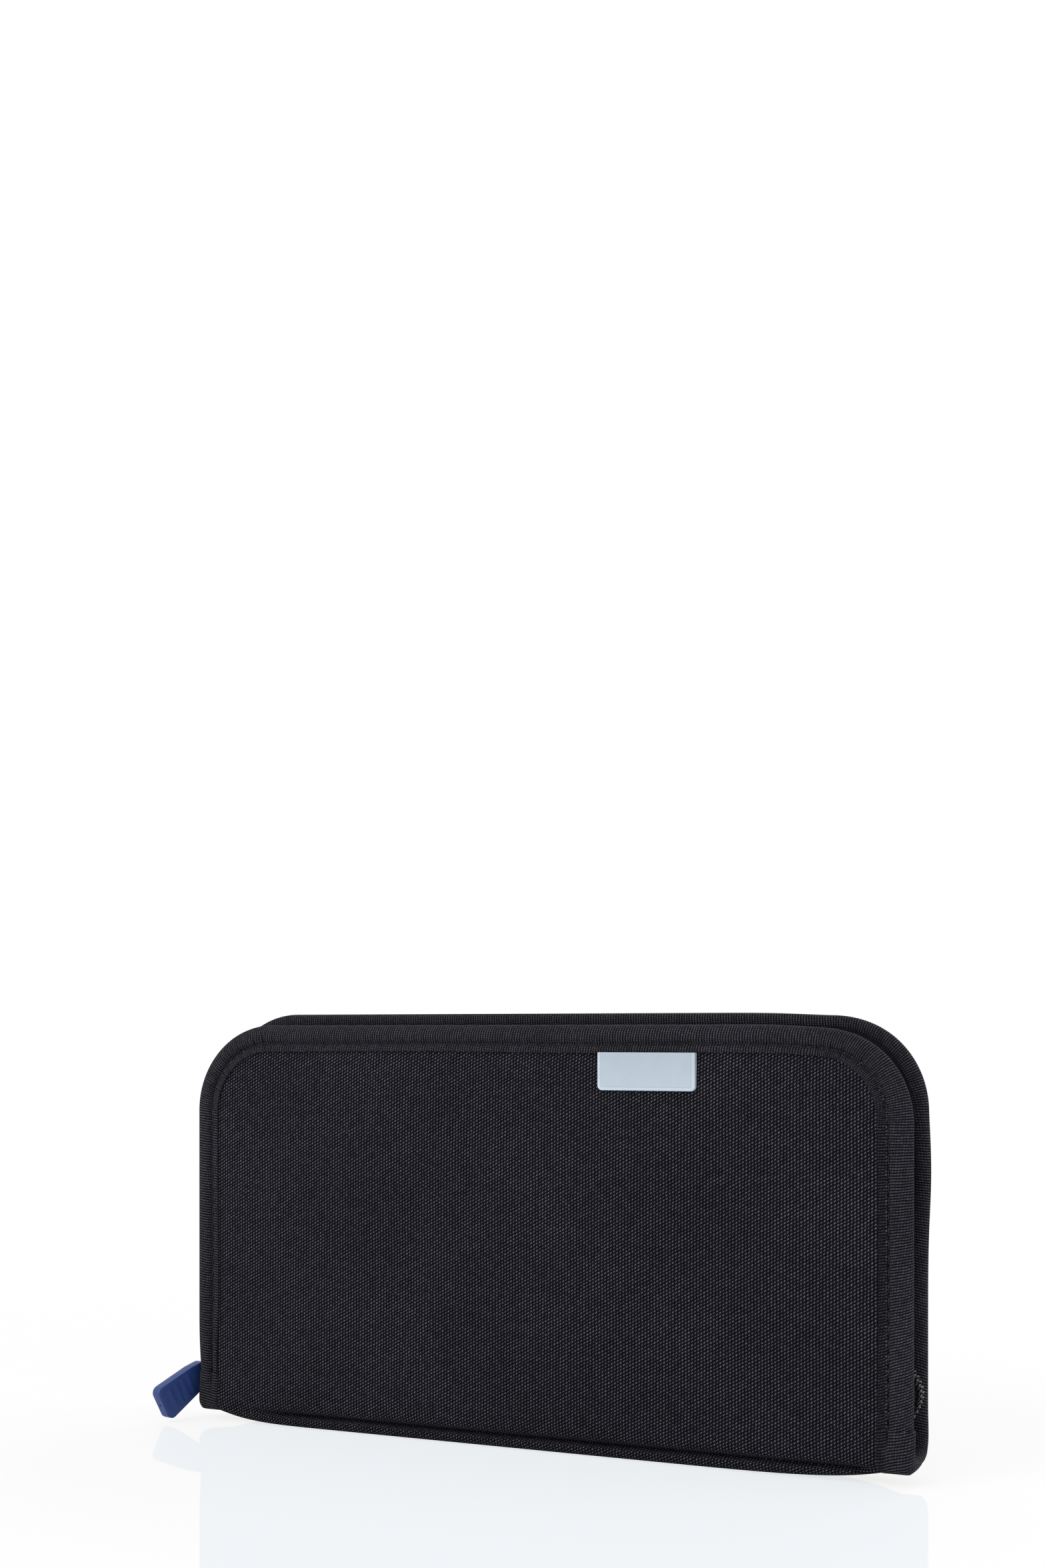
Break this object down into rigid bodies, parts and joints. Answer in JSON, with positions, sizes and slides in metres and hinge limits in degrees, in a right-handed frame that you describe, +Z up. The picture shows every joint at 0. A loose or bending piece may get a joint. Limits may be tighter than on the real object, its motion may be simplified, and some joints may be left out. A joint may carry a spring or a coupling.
{
  "type": "passport holder wallet",
  "caption": "Zip-around passport holder wallet: two stiffened cloth covers fold on a soft spine, ribbon-bound, with pockets inside, a zip slider and a rubber pull.",
  "frame": {"origin": "middle of the spine's under face, on the surface that the closed wallet stands on", "axes": "+Z up from the spine to the covers' free edge, +X along the spine towards the end without the slider, +Y from the front cover to the rear cover"},
  "size_m": [0.2494, 0.0325, 0.1346],
  "materials": {
    "outer_fabric": "coarse ballistic weave, matt",
    "edge_ribbon": "grosgrain ribs, satin",
    "lining": "fine plain weave",
    "pocket_cloth": "fine plain weave",
    "board": "fibre board with foam",
    "foam": "closed-cell foam",
    "zip_tape": "woven polyester tape",
    "zip_coil": "smooth filament",
    "zip_metal": "dark plated, satin",
    "pull_rubber": "moulded, satin",
    "badge_rubber": "milky, semi-gloss"
  },
  "bodies": {
    "spine": {"spine_fabric": "outer_fabric", "spine_foam": "foam", "spine_lining": "lining", "spine_binding_left": "edge_ribbon", "spine_binding_right": "edge_ribbon"},
    "front_cover": {"front_cover_fabric": "outer_fabric", "front_board": "board", "front_lining": "lining", "front_binding": "edge_ribbon", "front_zip_tape": "zip_tape", "front_zip_coil": "zip_coil", "front_zip_stops": "zip_metal", "badge": "badge_rubber", "ticket_pocket": "pocket_cloth", "card_pocket_left_1": "pocket_cloth", "card_pocket_left_2": "pocket_cloth", "card_pocket_left_3": "pocket_cloth", "card_pocket_right_1": "pocket_cloth", "card_pocket_right_2": "pocket_cloth", "card_pocket_right_3": "pocket_cloth"},
    "rear_cover": {"rear_cover_fabric": "outer_fabric", "rear_board": "board", "rear_lining": "lining", "rear_binding": "edge_ribbon", "rear_zip_tape": "zip_tape", "rear_zip_coil": "zip_coil", "rear_zip_stops": "zip_metal", "rear_slip_pocket": "pocket_cloth", "passport_pocket": "pocket_cloth"},
    "slider": {"zip_slider": "zip_metal"},
    "ring": {"pull_ring": "zip_metal"},
    "pull": {"pull_tab": "pull_rubber"}
  },
  "joints": [
    {"name": "front_cover_fold", "type": "hinge", "parent": "spine", "child": "front_cover", "pos_m": [0, -0.0058, 0.0042], "axis": [1, 0, 0], "range_deg": [0, 90]},
    {"name": "rear_cover_fold", "type": "hinge", "parent": "spine", "child": "rear_cover", "pos_m": [0, 0.0058, 0.0086], "axis": [-1, 0, 0], "range_deg": [0, 91.5]},
    {"name": "slider_travel", "type": "slide", "parent": "rear_cover", "child": "slider", "axis": [0, 0, 1], "range_m": [0, 0.081]},
    {"name": "pull_ring_swing", "type": "hinge", "parent": "slider", "child": "ring", "pos_m": [-0.1175, 0, 0.0146], "axis": [0, 1, 0], "range_deg": [-15, 30]},
    {"name": "pull_turn", "type": "hinge", "parent": "ring", "child": "pull", "pos_m": [-0.1215, 0, 0.0146], "axis": [0, 0, -1], "range_deg": [0, 148]}
  ]
}
